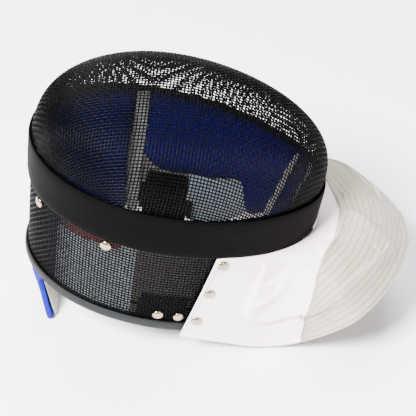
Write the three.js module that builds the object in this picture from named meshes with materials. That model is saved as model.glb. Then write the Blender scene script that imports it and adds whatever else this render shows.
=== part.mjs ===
import * as THREE from 'three';
import { mergeVertices } from 'three/addons/utils/BufferGeometryUtils.js';

// Fencing mask lying face up. Millimetres, +Z up, crown toward -X, chin toward +X, mirror plane y = 0.
// The shape is drawn in the mask's own frame (rim plane z = 0) and tilted about Y as it lies.
const TILT = 13.3 * Math.PI / 180;
const RIM = { length: 273.5, width: 186, egg: 0.12, cx: 1.2 };
const REAR = { length: 269.5, width: 181, egg: 0.09, cx: 14 };
const WALL = { depth: 136, chinDepth: 64, thick: 2 };
const DOME = { height: 84, crestX: 9, p: 1.65, q: 2.7 };
const BAND = { width: 42.5, thick: 2.6 };
const TRIM = { legs: 8, thick: 2.8 };
const FLOOR = -170.4;
const BIB = { thick: 2.2, halfAngle: 73 * Math.PI / 180, bulge: 17 };
const PAD = { front: -3, rear: -92, crownRear: -108, gap: 2.7, crownGap: 4.4, edge: 5, middle: 13 };
const STRAP = { x0: -12, x1: 33, thick: 1.8 };
const LINING = { thick: 1.2, from: 26, to: 79 };
const TONGUE = { top: -112, halfTop: 45, halfTip: 52, thick: 5, lining: 1.2 };
const RIVET = { radius: 5.2, height: 2.3 };
const DEG = Math.PI / 180;

const smooth = (a, b, x) => { const t = Math.min(1, Math.max(0, (x - a) / (b - a))); return t * t * (3 - 2 * t); };
const lerp = (a, b, t) => a + (b - a) * t;
const table = (rows, x) => {
  if (x <= rows[0][0]) return rows[0].slice(1);
  for (let i = 1; i < rows.length; i++) {
    if (x > rows[i][0]) continue;
    const t = (x - rows[i - 1][0]) / (rows[i][0] - rows[i - 1][0]);
    return rows[i].slice(1).map((v, k) => lerp(rows[i - 1][k + 1], v, t));
  }
  return rows[rows.length - 1].slice(1);
};

// The same, with a smooth curve through the rows, mirrored at the first one.
const curve = (rows, x) => {
  let i = 1;
  while (i < rows.length - 1 && x > rows[i][0]) i++;
  const b = rows[i - 1], c = rows[i], m = (k) => (k === 1 || k === 3 ? 1 : -1);
  const a = i > 1 ? rows[i - 2] : [-rows[1][0], ...rows[1].slice(1).map((w, k) => (m(k + 1) * w))];
  const d = rows[i + 1] || c.map((w, k) => 2 * w - b[k]);
  const t = (x - b[0]) / (c[0] - b[0]), h = c[0] - b[0];
  return b.slice(1).map((_, n) => {
    const k = n + 1, s0 = (c[k] - a[k]) / (c[0] - a[0]) * h, s1 = (d[k] - b[k]) / (d[0] - b[0]) * h;
    const t2 = t * t, t3 = t2 * t;
    return (2 * t3 - 3 * t2 + 1) * b[k] + (t3 - 2 * t2 + t) * s0 + (3 * t2 - 2 * t3) * c[k] + (t3 - t2) * s1;
  });
};

const plan = (a, e) => {
  const c = Math.cos(a), s = Math.sin(a);
  return [e.cx + e.length / 2 * c, e.width / 2 * s * (1 - e.egg * c)];
};
const wallPlan = (a, z) => {
  const t = -z / WALL.depth, p = plan(a, RIM), q = plan(a, REAR);
  return [lerp(p[0], q[0], t), lerp(p[1], q[1], t)];
};
const wall = (a, z, off) => {
  const p = wallPlan(a, z), q = wallPlan(a + 0.002, z), r = wallPlan(a - 0.002, z);
  const tx = q[0] - r[0], ty = q[1] - r[1], m = Math.hypot(tx, ty);
  return new THREE.Vector3(p[0] + ty / m * off, p[1] - tx / m * off, z);
};
const rearZ = (a) => lerp(-WALL.depth, -WALL.chinDepth, smooth(0.34, 0.86, Math.cos(a)));

const group = new THREE.Group();
group.name = 'fencing_mask';
const colours = {
  wire: 0x2a2a2c, band: 0x1d1d20, trim: 0x41484c, white: 0xf0ebee, lame: 0xd6d2c8, blue: 0x10108c,
  tongue: 0x4141d8, lining: 0xb4aca0, strip: 0xe8e4de, strap: 0x17171a, red: 0x5c1e1e, nickel: 0xcfc8b4
};
const materials = Object.fromEntries(Object.entries(colours).map(([k, c]) => [k,
  new THREE.MeshStandardMaterial({ name: k, color: c, roughness: k === 'nickel' ? 0.3 : 0.8,
    metalness: k === 'nickel' || k === 'wire' ? 0.9 : 0 })]));

const tilt = (v) => v.applyAxisAngle(new THREE.Vector3(0, 1, 0), TILT);

function add(name, material, faces) {
  const pos = [];
  for (const f of faces) for (let i = 2; i < f.length; i++) pos.push(f[0], f[i - 1], f[i]);
  const flat = new Float32Array(pos.length * 3);
  pos.forEach((v, i) => { flat[3 * i] = v.x; flat[3 * i + 1] = v.y; flat[3 * i + 2] = v.z; });
  let g = new THREE.BufferGeometry();
  g.setAttribute('position', new THREE.BufferAttribute(flat, 3));
  g = mergeVertices(g, 1e-3);
  const idx = g.index.array, keep = [];
  for (let i = 0; i < idx.length; i += 3) {
    const [a, b, c] = [idx[i], idx[i + 1], idx[i + 2]];
    if (a !== b && b !== c && a !== c) keep.push(a, b, c);
  }
  const p = g.attributes.position;
  let volume = 0;
  const A = new THREE.Vector3(), B = new THREE.Vector3(), C = new THREE.Vector3();
  for (let i = 0; i < keep.length; i += 3) {
    A.fromBufferAttribute(p, keep[i]); B.fromBufferAttribute(p, keep[i + 1]); C.fromBufferAttribute(p, keep[i + 2]);
    volume += A.dot(B.cross(C));
  }
  if (volume < 0) for (let i = 0; i < keep.length; i += 3) [keep[i + 1], keep[i + 2]] = [keep[i + 2], keep[i + 1]];
  g.setIndex(keep);
  g.computeVertexNormals();
  const mesh = new THREE.Mesh(g, materials[material]);
  mesh.name = name;
  group.add(mesh);
  return mesh;
}

// A closed body between an outer and an inner surface, each a function of i/nu and j/nv.
function slab(outer, inner, nu, nv, loop) {
  const O = [], I = [], faces = [], at = (G, i, j) => G[loop ? i % nu : i][j];
  for (let i = 0; i < (loop ? nu : nu + 1); i++) {
    O.push([]); I.push([]);
    for (let j = 0; j <= nv; j++) { O[i].push(outer(i / nu, j / nv)); I[i].push(inner(i / nu, j / nv)); }
  }
  for (let i = 0; i < nu; i++) {
    for (let j = 0; j < nv; j++) {
      faces.push([at(O, i, j), at(O, i + 1, j), at(O, i + 1, j + 1), at(O, i, j + 1)]);
      faces.push([at(I, i, j), at(I, i, j + 1), at(I, i + 1, j + 1), at(I, i + 1, j)]);
    }
    faces.push([at(O, i, 0), at(I, i, 0), at(I, i + 1, 0), at(O, i + 1, 0)]);
    faces.push([at(O, i, nv), at(O, i + 1, nv), at(I, i + 1, nv), at(I, i, nv)]);
  }
  if (!loop) for (let j = 0; j < nv; j++) {
    faces.push([at(O, 0, j), at(O, 0, j + 1), at(I, 0, j + 1), at(I, 0, j)]);
    faces.push([at(O, nu, j), at(I, nu, j), at(I, nu, j + 1), at(O, nu, j + 1)]);
  }
  return faces;
}
const tilted = (f) => (u, v) => tilt(f(u, v));
const mirrored = (f, s) => (u, v) => { const p = f(u, v); p.y *= s; return p; };

// Front mesh: a dome with a short skirt under the rim band, in two halves that meet across the crest.
const JOIN = -21;
const dome = (u, v, off) => {
  const a = u * 2 * Math.PI, rows = 11 / 13;
  if (v > rows) return wall(a, JOIN * (v - rows) / (1 - rows), off);
  const s = Math.sin(v / rows * Math.PI / 2), k = 1 + off / 110;
  const rim = wall(a, 0, 0), cx = DOME.crestX;
  const z = DOME.height * Math.pow(Math.max(0, 1 - Math.pow(s, DOME.p)), 1 / DOME.q);
  const edge = wall(a, 0, off);
  return new THREE.Vector3(lerp(cx + (rim.x - cx) * s, cx + (edge.x - cx) * s, s), lerp(rim.y * s, edge.y * s, s),
    z * k + off * (1 - s) * 0.2);
};
const half = (start, part) => (u, v, off) => dome(start + u / 2, v, off).add(new THREE.Vector3(part, 0, 0));
for (const [name, start, part] of [['front_mesh_chin', -0.25, 0.15], ['front_mesh_crown', 0.25, -0.15]]) {
  const f = half(start, part);
  add(name, 'wire', slab(tilted((u, v) => f(u, v, 0)), tilted((u, v) => f(u, v, -WALL.thick)), 24, 13, false));
}

add('side_mesh', 'wire', slab(
  tilted((u, v) => wall(u * 2 * Math.PI, lerp(JOIN - 0.4, rearZ(u * 2 * Math.PI), v), 0)),
  tilted((u, v) => wall(u * 2 * Math.PI, lerp(JOIN - 0.4, rearZ(u * 2 * Math.PI), v), -WALL.thick)), 48, 3, true));

// Rim band: a strip round the outside, hiding the joint of the two meshes.
const bandOff = [0.35, 0.35 + BAND.thick];
add('rim_band', 'band', slab(
  tilted((u, v) => wall(u * 2 * Math.PI, -0.4 - v * BAND.width, bandOff[1])),
  tilted((u, v) => wall(u * 2 * Math.PI, -0.4 - v * BAND.width, bandOff[0])), 48, 1, true));

// Rear trim: a U-shaped binding over the mesh's rear edge, [offset, height from the edge].
const t0 = TRIM.thick, trimProfile = [[0.3, TRIM.legs], [0.3 + t0, TRIM.legs - 1], [0.3 + t0, -t0 + 1],
  [t0 - 1.2, -t0 - 0.4], [-WALL.thick - t0 + 1.2, -t0 - 0.4], [-WALL.thick - 0.3 - t0, -t0 + 1],
  [-WALL.thick - 0.3 - t0, TRIM.legs - 1], [-WALL.thick - 0.3, TRIM.legs], [-WALL.thick - 0.3, -0.4], [0.3, -0.4]];
{
  const faces = [], n = 48, ring = [];
  for (let i = 0; i < n; i++) {
    const a = i / n * 2 * Math.PI;
    ring.push(trimProfile.map(([off, dz]) => tilt(wall(a, rearZ(a) + dz, off))));
  }
  for (let i = 0; i < n; i++) for (let k = 0; k < trimProfile.length; k++) {
    const m = (k + 1) % trimProfile.length, r = ring[i], q = ring[(i + 1) % n];
    faces.push([r[k], q[k], q[m], r[m]]);
  }
  add('rear_trim', 'trim', faces);
}

// Bib: a cloth hood lofted from the band's lower edge to the hem. Columns: station, then the hem's x, half
// width and height as shares of the rim length, in the lying frame.
const HEM = [[0, 0.808, 0, -0.374], [0.09, 0.796, 0.08, -0.364], [0.19, 0.762, 0.175, -0.362],
  [0.3, 0.7, 0.288, -0.374], [0.43, 0.6, 0.386, -0.404], [0.52, 0.52, 0.384, -0.468], [0.6, 0.45, 0.35, -0.545],
  [0.68, 0.37, 0.326, -0.597], [0.78, 0.285, 0.323, -0.6095], [0.9, 0.147, 0.338, -0.575], [1, 0.009, 0.345, -0.536]];
const SEAM = [[0, 0.194], [0.1, 0.19], [0.2, 0.2], [0.3, 0.225], [0.38, 0.245], [0.43, 0.275], [0.5, 0.365], [0.55, 0.52],
  [0.6, 0.72], [19 / 30, 1]];
const bibSurface = (u, v) => {
  const w = Math.abs(u), sg = Math.sign(u) || 1, a = BIB.halfAngle * w;
  const top = tilt(wall(a, -BAND.width - 0.9, 1.0 + BIB.thick));
  const h = curve(HEM, w), L = RIM.length;
  const side = tilt(wall(BIB.halfAngle, -WALL.depth - 5, 4 + BIB.thick));
  const hem = new THREE.Vector3(h[0] * L, h[1] * L, h[2] * L).lerp(side, smooth(0.86, 1, w));
  const p = top.lerp(hem, v), b = BIB.bulge * Math.sin(Math.PI * Math.pow(v, 0.85)) * lerp(1, 0.12, smooth(0.5, 0.95, w));
  const out = Math.min(1, w / 0.45);
  p.add(new THREE.Vector3(0.3, 0.62 * out, 0.85 - 0.35 * smooth(0.3, 0.8, w)).multiplyScalar(b));
  p.z = Math.max(p.z, FLOOR + 1);
  p.y *= sg;
  return p;
};
const bibNormal = (u, v) => {
  const e = 0.01, a = bibSurface(u + e, v), b = bibSurface(u - e, v);
  const c = bibSurface(u, Math.min(1, v + e)), d = bibSurface(u, Math.max(0, v - e));
  const n = a.sub(b).cross(c.sub(d)).normalize();
  return n.z < 0 && Math.abs(u) < 0.6 ? n.negate() : (Math.sign(n.y) !== Math.sign(u) && Math.abs(u) >= 0.6 ? n.negate() : n);
};
const bibInner = (u, v) => bibSurface(u, v).sub(bibNormal(u, v).multiplyScalar(BIB.thick));
const seamAt = (u) => table(SEAM, Math.abs(u))[0];
const LAME = 19 / 30;
const whiteV = (u, v) => v * (Math.abs(u) < 0.64 ? seamAt(u) - 0.005 : 1);
const lameV = (u, v) => lerp(seamAt(u), 1, v);
add('bib_white', 'white', slab((u, v) => bibSurface(2 * u - 1, whiteV(2 * u - 1, v)),
  (u, v) => bibInner(2 * u - 1, whiteV(2 * u - 1, v)), 60, 6, false));
add('bib_lame', 'lame', slab((u, v) => bibSurface((2 * u - 1) * LAME, lameV((2 * u - 1) * LAME, v)),
  (u, v) => bibInner((2 * u - 1) * LAME, lameV((2 * u - 1) * LAME, v)), 38, 6, false));

// Pads on the inner wall: [name, from, to, front edge, rear edge].
const crownRear = (a) => lerp(PAD.crownRear, -WALL.depth + TRIM.legs + 2, smooth(32, 36, Math.abs(a - Math.PI) / DEG));
const SIDE_REAR = [[19, 1], [43, 1.02], [48, 0.93], [55, 0.84], [60, 0.83], [71, 0.95], [84, 1.01], [93, 1.04], [99, 0.98],
  [103, 0.83]];
const sideRear = (a) => Math.max(PAD.rear * table(SIDE_REAR, Math.abs(a) / DEG)[0], rearZ(a) + TRIM.legs + 2);
function pad(name, material, a0, a1, front, rear, sign, thick, nu, nv, gap = PAD.gap) {
  const f = (u, v, off) => {
    const a = lerp(a0, a1, u);
    return wall(a, lerp(front, rear(a), v), off);
  };
  const round = (u, v) => lerp(thick[0], thick[1], Math.sqrt(Math.max(0, 1 - Math.pow(Math.abs(2 * v - 1), 4)))
    * Math.sqrt(Math.max(0, 1 - Math.pow(Math.abs(2 * u - 1), 10))));
  add(name, material, slab(mirrored(tilted((u, v) => f(u, v, -gap)), sign),
    mirrored(tilted((u, v) => f(u, v, -gap - round(u, v))), sign), nu, nv, false));
}
pad('crown_pad', 'blue', 109.5 * DEG, 250.5 * DEG, PAD.front, crownRear, 1, [PAD.edge, PAD.middle], 26, 5, PAD.crownGap);
pad('chin_pad', 'blue', -13.5 * DEG, 13.5 * DEG, PAD.front, sideRear, 1, [PAD.edge, PAD.middle], 6, 5);
for (const [side, s] of [['left', 1], ['right', -1]]) {
  pad('side_pad_' + side, 'blue', 19 * DEG, 103 * DEG, PAD.front, sideRear, s, [PAD.edge, PAD.middle], 14, 5);
  pad('crown_strip_' + side, 'strip', 103.6 * DEG, 108.9 * DEG, PAD.front, crownRear, s, [2.4, 2.8], 3, 3);
  pad('chin_strip_' + side, 'strip', 14.1 * DEG, 18.4 * DEG, PAD.front, () => -50, s, [2.4, 2.8], 3, 2);
  pad('red_strip_' + side, 'red', 110 * DEG, 133 * DEG, -44, () => -50.5, s, [1.2, 1.4], 8, 1);
  const lining = (off) => mirrored(tilted((u, v) => {
    const a = lerp(LINING.from, LINING.to, u) * DEG;
    return wall(a, lerp(sideRear(a) - 3, rearZ(a) - 1, v), -WALL.thick - TRIM.thick - 0.9 - off);
  }), s);
  add('bib_lining_' + side, 'white', slab(lining(0), lining(LINING.thick), 10, 2, false));
}

// Back strap: an elastic across the head opening, its ends flat on the side mesh behind the pads.
// Columns: share of the half length from the middle, distance from the wall (negative: a share of the half
// width), height in the mask's frame.
const STRAP_PATH = [[0, -1, -133], [0.2, -0.76, -132.6], [0.4, -0.46, -131], [0.54, -0.2, -129], [0.62, -0.09, -127.2],
  [0.68, 2.6, -125.6], [0.72, 1, -123], [0.76, 0.4, -119.5], [1, 0.4, -98]];
{
  const half = (x, z) => {
    const t = -z / WALL.depth, cx = lerp(RIM.cx, REAR.cx, t), r = lerp(RIM.length, REAR.length, t) / 2;
    return Math.abs(wall(Math.acos((x - cx) / r), z, -WALL.thick).y);
  };
  const at = (m, x) => {
    const [d, z] = table(STRAP_PATH, m);
    return [half(x, z), d, z].reduce((h, v, i) => (i === 1 ? [h, v < 0 ? -v * h : v] : i === 2 ? [...h, v] : h));
  };
  const side = (thick) => (u, v) => {
    const x = lerp(STRAP.x0, STRAP.x1, v), w = 2 * u - 1, m = Math.abs(w), s = Math.sign(w) || 1;
    const [h, d, z] = at(m, x), p = at(Math.min(1, m + 0.01), x), q = at(Math.max(0, m - 0.01), x);
    const td = (p[1] - p[0]) - (q[1] - q[0]), tz = p[2] - q[2], k = Math.hypot(td, tz);
    const nd = m < 1e-6 ? 0 : tz / k, nz = m < 1e-6 ? 1 : -td / k;
    return new THREE.Vector3(x, s * (h - d - nd * thick), z + nz * thick);
  };
  add('back_strap', 'strap', slab(tilted(side(0)), tilted(side(STRAP.thick)), 44, 1, false));
}

// Tongue: a padded flap from inside the crown's rear edge down to the floor. u runs across, v down.
const tongueLine = (u, v, off) => {
  const w = 2 * u - 1, bendZ = -WALL.depth - 3, vBend = 0.36, half = 27.5 * DEG;
  const onWall = (z) => tilt(wall(Math.PI - half * w, z, -WALL.thick - TRIM.thick - 0.8 - off));
  if (v <= vBend) return onWall(lerp(TONGUE.top, bendZ, v / vBend));
  const root = onWall(bendZ), t = (v - vBend) / (1 - vBend);
  const grow = lerp(1, TONGUE.halfTip / TONGUE.halfTop, t) * (1 - 0.16 * Math.pow(Math.max(0, (t - 0.75) / 0.25), 2));
  const xTip = -129 + off;
  return new THREE.Vector3(lerp(root.x, xTip, t), root.y * grow, lerp(root.z, FLOOR + 0.1, t));
};
add('tongue', 'tongue', slab((u, v) => tongueLine(u, v, 0), (u, v) => tongueLine(u, v, TONGUE.thick), 10, 7, false));
add('tongue_lining', 'lining', slab((u, v) => tongueLine(lerp(0.03, 0.97, u), lerp(0.02, 0.97, v), TONGUE.thick + 0.3),
  (u, v) => tongueLine(lerp(0.03, 0.97, u), lerp(0.02, 0.97, v), TONGUE.thick + 0.3 + TONGUE.lining), 10, 7, false));

// Rivets: domed heads on the outside, mirrored left and right.
function rivet(name, centre, normal, sign) {
  const n = normal.clone().normalize(), c = centre.clone();
  n.y *= sign; c.y *= sign;
  const x = new THREE.Vector3(0, 0, 1).cross(n).normalize(), y = n.clone().cross(x), faces = [], m = 12;
  const rows = [[0.96, 0], [1, 0.16], [0.9, 0.62], [0.6, 0.92]].map(([r, h]) => Array.from({ length: m }, (_, i) => {
    const a = i / m * 2 * Math.PI;
    return c.clone().addScaledVector(x, Math.cos(a) * r * RIVET.radius).addScaledVector(y, Math.sin(a) * r * RIVET.radius)
      .addScaledVector(n, h * RIVET.height);
  }));
  const top = c.clone().addScaledVector(n, RIVET.height), base = c.clone();
  for (let i = 0; i < m; i++) {
    const j = (i + 1) % m;
    faces.push([base, rows[0][j], rows[0][i]], [top, rows[3][i], rows[3][j]]);
    for (let k = 0; k < 3; k++) faces.push([rows[k][i], rows[k][j], rows[k + 1][j], rows[k + 1][i]]);
  }
  add(name, 'nickel', faces);
}
const wallRivet = (a, z, off) => {
  const along = tilt(wall(a + 0.01, z, 0)).sub(tilt(wall(a - 0.01, z, 0)));
  const down = tilt(wall(a, z + 1, 0)).sub(tilt(wall(a, z - 1, 0)));
  const n = along.cross(down).normalize();
  return [tilt(wall(a, z, 0)).addScaledVector(n, off), n];
};
// How far the cloth rises beside a rivet's middle, within its head.
const bibRise = (u, v, n) => {
  const c = bibSurface(u, v), e = 0.01, reach = 1.05 * RIVET.radius;
  const du = e * reach / bibSurface(u - e, v).distanceTo(c), dv = e * reach / bibSurface(u, v - e).distanceTo(c);
  let rise = 0;
  for (let i = 0; i < 16; i++) {
    const a = i / 8 * Math.PI, q = bibSurface(Math.min(1, u + du * Math.cos(a)), Math.min(1, Math.max(0, v + dv * Math.sin(a))));
    rise = Math.max(rise, q.sub(c).dot(n));
  }
  return rise;
};
const RIVETS = { band: [116, -51.5], crown: [155, -52.5], strap_a: [92, -122.2], strap_b: [83.6, -122.2] };
for (const [side, s] of [['left', 1], ['right', -1]]) {
  for (const [k, [a, z]] of Object.entries(RIVETS)) {
    const [c, n] = wallRivet(a * DEG, z, 0.35);
    rivet('rivet_' + k + '_' + side, c, n, s);
  }
  for (const [k, [u, v]] of Object.entries({ bib_a: [0.925, 0.09], bib_b: [0.95, 0.44], bib_c: [0.962, 0.8] })) {
    const n = bibNormal(u, v), c = bibSurface(u, v);
    c.addScaledVector(n, 0.35 + bibRise(u, v, n));
    rivet('rivet_' + k + '_' + side, c, n, s);
  }
}

// The finished mask stands on the floor, centred under its own box.
const box = new THREE.Box3().setFromObject(group);
const shift = new THREE.Vector3(-(box.min.x + box.max.x) / 2, 0, -box.min.z);
for (const mesh of group.children) mesh.geometry.translate(shift.x, shift.y, shift.z);

export default group;
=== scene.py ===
import math
import bpy
import numpy as np
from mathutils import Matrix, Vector


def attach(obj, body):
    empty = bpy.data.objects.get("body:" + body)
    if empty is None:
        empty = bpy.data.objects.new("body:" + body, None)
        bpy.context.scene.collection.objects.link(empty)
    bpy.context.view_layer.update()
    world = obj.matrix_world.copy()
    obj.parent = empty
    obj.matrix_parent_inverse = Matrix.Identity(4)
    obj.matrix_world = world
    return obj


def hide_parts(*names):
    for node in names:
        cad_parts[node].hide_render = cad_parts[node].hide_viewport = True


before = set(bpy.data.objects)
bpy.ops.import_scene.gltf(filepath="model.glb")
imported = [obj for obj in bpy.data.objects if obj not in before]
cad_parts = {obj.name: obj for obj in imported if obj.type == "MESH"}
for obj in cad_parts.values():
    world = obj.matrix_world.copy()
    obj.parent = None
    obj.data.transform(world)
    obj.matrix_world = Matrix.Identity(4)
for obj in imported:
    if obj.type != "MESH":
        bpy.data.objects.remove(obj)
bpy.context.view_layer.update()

# The mask in its own frame, in millimetres: rim plane z = 0, crown toward -x, chin toward +x. Angles run
# round it from the chin. Rim and rear are the wall's plan there: length, width, egg share and middle. The
# mask is tilted as it lies, then set on the floor.
mask = {"tilt": math.radians(13.3), "shiftX": -34.47, "lift": 170.3,
        "rim": (273.5, 186, 0.12, 1.2), "rear": (269.5, 181, 0.09, 14.0), "depth": 136, "chinDepth": 64,
        "chinRise": (0.34, 0.86), "domeHeight": 84, "crestX": 9, "domeP": 1.65, "domeQ": 2.7,
        "bandWidth": 42.5}
sides = (("left", 1), ("right", -1))


def smoothStep(a, b, x):
    t = np.clip((np.asarray(x, float) - a) / (b - a), 0, 1)
    return t * t * (3 - 2 * t)


def planAt(a, shape):
    length, width, egg, cx = shape
    return cx + length / 2 * np.cos(a), width / 2 * np.sin(a) * (1 - egg * np.cos(a))


def wallPlan(a, z):
    t = -z / mask["depth"]
    (x0, y0), (x1, y1) = planAt(a, mask["rim"]), planAt(a, mask["rear"])
    return x0 + (x1 - x0) * t, y0 + (y1 - y0) * t


def wallAt(a, z, off):
    # a point off millimetres outside the wall, at an angle and a height
    a, z, off = np.broadcast_arrays(np.asarray(a, float), z, off)
    (x, y), (qx, qy), (rx, ry) = wallPlan(a, z), wallPlan(a + 0.002, z), wallPlan(a - 0.002, z)
    tx, ty = qx - rx, qy - ry
    m = np.hypot(tx, ty)
    return np.stack([x + ty / m * off, y - tx / m * off, z + 0 * x], -1)


def rearEdge(a):
    # height of the mesh's rear edge, which rises toward the chin
    return -mask["depth"] + (mask["depth"] - mask["chinDepth"]) * smoothStep(*mask["chinRise"], np.cos(a))


def tilted(p, tilt=mask["tilt"]):
    c, s = math.cos(tilt), math.sin(tilt)
    return np.stack([p[..., 0] * c + p[..., 2] * s, p[..., 1], -p[..., 0] * s + p[..., 2] * c], -1)


def placed(p):
    # the lying frame in millimetres to the scene in metres
    return (p + np.array([mask["shiftX"], 0, mask["lift"]])) / 1000


def lying(p):
    return placed(tilted(np.asarray(p, float)))


def unlying(p):
    return tilted(p * 1000 - np.array([mask["shiftX"], 0, mask["lift"]]), -mask["tilt"])


def getPoints(mesh):
    co = np.zeros(len(mesh.vertices) * 3)
    mesh.vertices.foreach_get("co", co)
    return co.reshape(-1, 3)


def setPoints(mesh, points):
    mesh.vertices.foreach_set("co", points.ravel())
    mesh.update()


def arcAngles(count, z):
    # angles that share the wall's length at a height evenly
    a = np.linspace(0, 2 * math.pi, 4000)
    p = wallAt(a, z, 0)
    s = np.concatenate([[0], np.cumsum(np.linalg.norm(np.diff(p, axis=0), axis=1))])
    return np.interp(np.linspace(0, s[-1], count), s, a), s[-1]


# Shader helpers: sums on values add their Math nodes
class Value:
    def __init__(self, maker, socket):
        self.maker, self.socket = maker, socket

    def sum(self, operation, other=None, flip=False):
        pair = [self, other] if not flip else [other, self]
        return self.maker.node("ShaderNodeMath", {"operation": operation},
                               {i: v for i, v in enumerate(pair) if v is not None})

    def __add__(self, o): return self.sum("ADD", o)
    def __radd__(self, o): return self.sum("ADD", o)
    def __sub__(self, o): return self.sum("SUBTRACT", o)
    def __rsub__(self, o): return self.sum("SUBTRACT", o, True)
    def __mul__(self, o): return self.sum("MULTIPLY", o)
    def __truediv__(self, o): return self.sum("DIVIDE", o)
    def sine(self): return self.sum("SINE")
    def fract(self): return self.sum("FRACT")
    def size(self): return self.sum("ABSOLUTE")
    def positive(self): return self.sum("MAXIMUM", 0.0)
    def clipped(self): return self.positive().sum("MINIMUM", 1.0)
    def wave(self, length): return (self * (2 * math.pi / length)).sine() * 0.5 + 0.5


class Maker:
    def __init__(self, name):
        self.material = bpy.data.materials.new(name)
        self.material.use_nodes = True
        self.tree = self.material.node_tree
        self.tree.nodes.clear()
        self.shader = self.tree.nodes.new("ShaderNodeBsdfPrincipled")
        output = self.tree.nodes.new("ShaderNodeOutputMaterial")
        self.tree.links.new(self.shader.outputs[0], output.inputs[0])

    def put(self, socket, value):
        if isinstance(value, Value):
            self.tree.links.new(value.socket, socket)
        else:
            socket.default_value = value

    def node(self, kind, settings=None, sockets=None, out=0):
        n = self.tree.nodes.new(kind)
        for key, value in (settings or {}).items():
            setattr(n, key, value)
        for key, value in (sockets or {}).items():
            self.put(n.inputs[key], value)
        return Value(self, n.outputs[out])

    def place(self, uv=True):
        # where a point lies, in metres: on the cut cloth, or in the piece's own space
        if uv:
            return self.node("ShaderNodeUVMap", {"uv_map": "cut"})
        return self.node("ShaderNodeTexCoord", out=3)

    def axes(self, flat):
        n = self.tree.nodes.new("ShaderNodeSeparateXYZ")
        self.tree.links.new(flat.socket, n.inputs[0])
        return [Value(self, n.outputs[k]) for k in range(3)]

    def noise(self, flat, scale, detail=2.0, rough=0.5):
        return self.node("ShaderNodeTexNoise", None,
                         {"Vector": flat, "Scale": scale, "Detail": detail, "Roughness": rough})

    def mix(self, factor, a, b, blend="MIX"):
        return self.node("ShaderNodeMix", {"data_type": "RGBA", "blend_type": blend},
                         {0: factor, 6: a, 7: b}, out=2)

    def finish(self, colour, roughness, height=None, strength=0.3, distance=0.0005, **fixed):
        self.put(self.shader.inputs["Base Color"], colour if isinstance(colour, Value) else (*colour, 1))
        self.put(self.shader.inputs["Roughness"], roughness)
        if height is not None:
            bump = self.node("ShaderNodeBump", None,
                             {"Height": height, "Strength": strength, "Distance": distance})
            self.put(self.shader.inputs["Normal"], bump)
        for key, value in fixed.items():
            self.put(self.shader.inputs[key.replace("_", " ")], value)
        return self.material


def tone(r, g, b):
    return (r, g, b, 1)


def wireMaterial():
    # black coating, worn to grey in fine specks
    m = Maker("blackenedWire")
    flat = m.place(False)
    patch = m.noise(flat, 35, 3)
    worn = ((m.noise(flat, 900, 2) - 0.62) * 6).clipped()
    base = m.mix(patch, tone(0.00005, 0.00005, 0.0001), tone(0.0005, 0.0005, 0.0007))
    return m.finish(m.mix(worn * 0.25, base, tone(0.035, 0.034, 0.033)), 0.3 + patch * 0.2,
                    Specular_IOR_Level=0.05)


def bandMaterial():
    # ribs 2.1 mm apart, crossed by a finer weave
    m = Maker("ribbedBand")
    flat = m.place()
    u, v, _ = m.axes(flat)
    rib, cross = v.wave(0.0021), u.wave(0.0011)
    grain, patch = m.noise(flat, 260, 4), m.noise(flat, 22, 3)
    height = rib * 0.6 + cross * 0.12 + grain * 0.35
    base = m.mix(rib * 0.55 + patch * 0.45, tone(0.0001, 0.0001, 0.0001), tone(0.001, 0.001, 0.001))
    return m.finish(base, 0.6 - rib * 0.1 + grain * 0.1, height, 0.6, 0.0004, Specular_IOR_Level=0.02)


def trimMaterial():
    m = Maker("slateBinding")
    flat = m.place()
    u, v, _ = m.axes(flat)
    weave, patch = (u + v).wave(0.0013), m.noise(flat, 60, 4)
    base = m.mix(weave * 0.3 + patch * 0.7, tone(0.002, 0.0027, 0.003), tone(0.009, 0.0105, 0.0115))
    return m.finish(base, 0.55 + patch * 0.15, weave * 0.5 + patch, 0.35, 0.0003, Specular_IOR_Level=0.2)


def clothMaterial(name, dark, light, pitch, patchy=0.35, uv=True, sheen=0.1, shine=0.25):
    m = Maker(name)
    flat = m.place(uv)
    u, v, w = m.axes(flat)
    k = 2 * math.pi / pitch
    warp, weft = (u * k).sine(), (v * k + (0 if uv else w * k)).sine()
    weave = warp * weft * 0.5 + 0.5
    patch, fine = m.noise(flat, 30, 4, 0.6), m.noise(flat, 700, 2)
    base = m.mix(weave * (1 - patchy) + patch * patchy, tone(*dark), tone(*light))
    return m.finish(base, 0.82 - weave * 0.08 + patch * 0.05, weave * 0.7 + fine * 0.5, 0.35, 0.0003,
                    Sheen_Weight=sheen, Sheen_Roughness=0.5, Specular_IOR_Level=shine)


def lameMaterial():
    # conductive cloth: a fine metallic weave, with stitched lines that follow the seam
    m = Maker("conductiveCloth")
    flat = m.place()
    u, v, _ = m.axes(flat)
    k = 2 * math.pi / 0.0011
    weave = (u * k).sine() * (v * k).sine() * 0.5 + 0.5
    stitch = (1 - ((v / 0.0062).fract() - 0.5).size() * 6.5).positive()
    weft = (1 - ((u / 0.0045).fract() - 0.5).size() * 7).positive()
    dash = u.wave(0.0026)
    patch, speck = m.noise(flat, 28, 5, 0.65), m.noise(flat, 420, 3, 0.7)
    base = m.mix(weave * 0.3 + patch * 0.7, tone(0.34, 0.29, 0.23), tone(0.58, 0.515, 0.43))
    base = m.mix(((speck - 0.5) * 2.4 + 0.5).clipped(), base, tone(0.7, 0.68, 0.64), "MULTIPLY")
    base = m.mix(weft * 0.22, base, tone(0.1, 0.09, 0.07))
    base = m.mix(stitch * (dash * 0.5 + 0.3), base, tone(0.075, 0.065, 0.055))
    height = weave * 0.35 + speck * 0.5 + patch * 0.4 - stitch * 0.9
    return m.finish(base, 0.56 + patch * 0.12, height, 0.5, 0.0005, Metallic=0.12, Sheen_Weight=0.15)


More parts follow.
